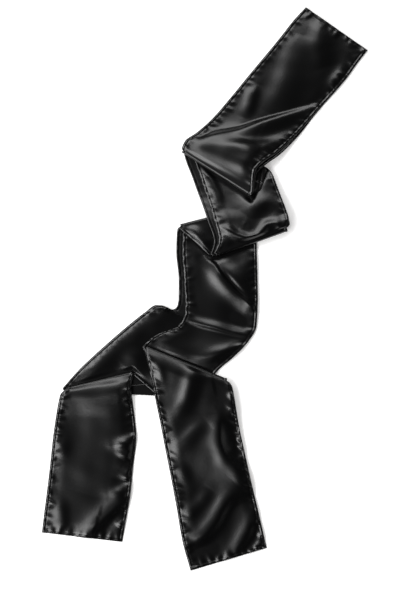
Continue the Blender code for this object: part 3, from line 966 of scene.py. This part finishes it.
def stitches(name, outer, inner, up, path, material):
    """Every stitch of a part, on both sides, as one mesh."""
    corners, faces = [], []
    pattern = stitch_faces()
    lift = STITCH_RADIUS * np.array(STITCH_LIFT)
    sides = [(line, ups, 1) for line, ups in seam_lines(outer, up, path)]
    sides += [(line, ups, -1) for line, ups in seam_lines(inner, up, path)]
    for line, ups, outward in sides:
        run = run_along(line)
        for start in np.arange(STITCH_PITCH / 2, run[-1] - STITCH_LENGTH, STITCH_PITCH):
            at = start + STITCH_LENGTH * np.array(STITCH_PLACES)
            points = np.column_stack([np.interp(at, run, line[:, k]) for k in range(3)])
            rise = unit(np.column_stack([np.interp(at, run, ups[:, k]) for k in range(3)]))
            base = len(STITCH_PLACES) * STITCH_SIDES * len(corners)
            corners.append(stitch_corners(points + rise * (outward * lift)[:, None], rise))
            faces.extend([tuple(c + base for c in face) for face in pattern])
    return mesh_object(name, np.vstack(corners), np.array(faces), material)


# Materials


def weave_bump(tree, shader):
    """A fine uneven weave: long threads along the ribbon, seen only close to."""
    flat = tree.nodes.new("ShaderNodeUVMap")
    flat.uv_map = "weave"
    stretch = tree.nodes.new("ShaderNodeMapping")
    stretch.inputs["Scale"].default_value = WEAVE_SCALE
    threads = tree.nodes.new("ShaderNodeTexNoise")
    threads.inputs["Scale"].default_value = 1.0
    threads.inputs["Detail"].default_value = WEAVE_DETAIL
    bump = tree.nodes.new("ShaderNodeBump")
    bump.inputs["Strength"].default_value = WEAVE_STRENGTH
    bump.inputs["Distance"].default_value = WEAVE_DEPTH
    tree.links.new(flat.outputs["UV"], stretch.inputs["Vector"])
    tree.links.new(stretch.outputs["Vector"], threads.inputs["Vector"])
    tree.links.new(threads.outputs["Fac"], bump.inputs["Height"])
    tree.links.new(bump.outputs["Normal"], shader.inputs["Normal"])


def new_material(name, colour, roughness):
    """A material of one colour and roughness, and the shader that takes what else it needs."""
    material = bpy.data.materials.new(name)
    material.use_nodes = True
    shader = material.node_tree.nodes["Principled BSDF"]
    shader.inputs["Base Color"].default_value = colour
    shader.inputs["Roughness"].default_value = roughness
    return material, shader


def satin_material():
    material, shader = new_material("satin", SATIN_BLACK, SATIN_ROUGHNESS)
    shader.inputs["IOR"].default_value = SATIN_IOR
    weave_bump(material.node_tree, shader)
    return material


def thread_material():
    return new_material("thread", SATIN_BLACK, THREAD_ROUGHNESS)[0]


def paper_material():
    material, shader = new_material("paper", PAPER_WHITE, PAPER_ROUGHNESS)
    shader.inputs["Specular IOR Level"].default_value = PAPER_SPECULAR
    shader.inputs["Emission Color"].default_value = PAPER_GLOW
    shader.inputs["Emission Strength"].default_value = PAPER_GLOW_STRENGTH
    return material


SATIN = satin_material()
THREAD = thread_material()


# Parts


def add_part(name, path):
    """A part's shell and its stitches, which stand for its solid."""
    outer, inner, up = shell_surfaces(name, path)
    rows, count = outer.shape[:2]
    corners = np.vstack([outer.reshape(-1, 3), inner.reshape(-1, 3)])
    shell = mesh_object(name + "_shell", corners, grid_faces(rows, count), SATIN)
    lay_weave_map(shell, path)
    sewing = stitches(name + "_stitches", outer, inner, up, path, THREAD)
    for piece in (shell, sewing):
        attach(piece, "root")
    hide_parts(name)


def build_top(pair, fade):
    path = length_path(pair, fade, TOP_ALONE, 1, TOP_CORNERS)
    folds = fold_spans(path.from_fold)
    last = len(path.left) - 1
    first_cut = between(folds[0], folds[1])
    second_cut = between(folds[2], folds[3])
    third_cut = between(folds[4], folds[5])
    add_part("top_upper", cut(path, 0, first_cut))
    add_part("top_middle", cut(path, first_cut, second_cut))
    add_part("top_lower", cut(path, second_cut, third_cut))
    add_part("right_tail", cut(path, third_cut, last))


def build_under(pair, fade):
    path = length_path(pair, fade, UNDER_ALONE, -1, UNDER_CORNERS)
    folds = fold_spans(path.from_fold)
    last = len(path.left) - 1
    first_cut = between(folds[0], folds[1])
    last_cut = between(folds[4], folds[5])
    add_part("under_upper", cut(path, 0, first_cut))
    add_part("under_middle", cut(path, first_cut, folds[2][1]))
    add_part("under_turnback", cut(path, folds[2][1], folds[3][1]))
    add_part("under_lower", cut(path, folds[3][1], last_cut))
    add_part("left_tail", cut(path, last_cut, last))


# Studio


def add_floor():
    mesh = bpy.data.meshes.new("floor")
    ways = ((-1, -1), (1, -1), (1, 1), (-1, 1))
    corners = [(x * FLOOR_REACH, y * FLOOR_REACH, 0) for x, y in ways]
    mesh.from_pydata(corners, [], [(0, 1, 2, 3)])
    mesh.materials.append(paper_material())
    floor = bpy.data.objects.new("floor", mesh)
    bpy.context.scene.collection.objects.link(floor)


def add_softbox(name, place, size, power):
    data = bpy.data.lights.new(name, "AREA")
    data.shape = "RECTANGLE"
    data.size, data.size_y = size
    data.energy = power
    lamp = bpy.data.objects.new(name, data)
    lamp.location = place
    lamp.rotation_euler = (-lamp.location).to_track_quat("-Z", "Y").to_euler()
    bpy.context.scene.collection.objects.link(lamp)


def add_world(strength):
    world = bpy.data.worlds.new("studio")
    bpy.context.scene.world = world
    world.use_nodes = True
    world.node_tree.nodes["Background"].inputs["Color"].default_value = (1, 1, 1, 1)
    world.node_tree.nodes["Background"].inputs["Strength"].default_value = strength


def add_camera():
    data = bpy.data.cameras.new("camera")
    data.sensor_width = SENSOR_WIDTH
    data.lens = data.sensor_width * CAMERA_HEIGHT / VIEW_HEIGHT
    camera = bpy.data.objects.new("camera", data)
    camera.location = (*VIEW_CENTRE, CAMERA_HEIGHT)
    bpy.context.scene.collection.objects.link(camera)
    bpy.context.scene.camera = camera


pair_lines, pair_fade = swept_lines(PAIR)
build_top(pair_lines, pair_fade)
build_under(pair_lines, pair_fade)

add_floor()
for softbox in SOFTBOXES:
    add_softbox(*softbox)
add_world(SURROUND)
add_camera()
bpy.context.scene.view_settings.view_transform = "Standard"
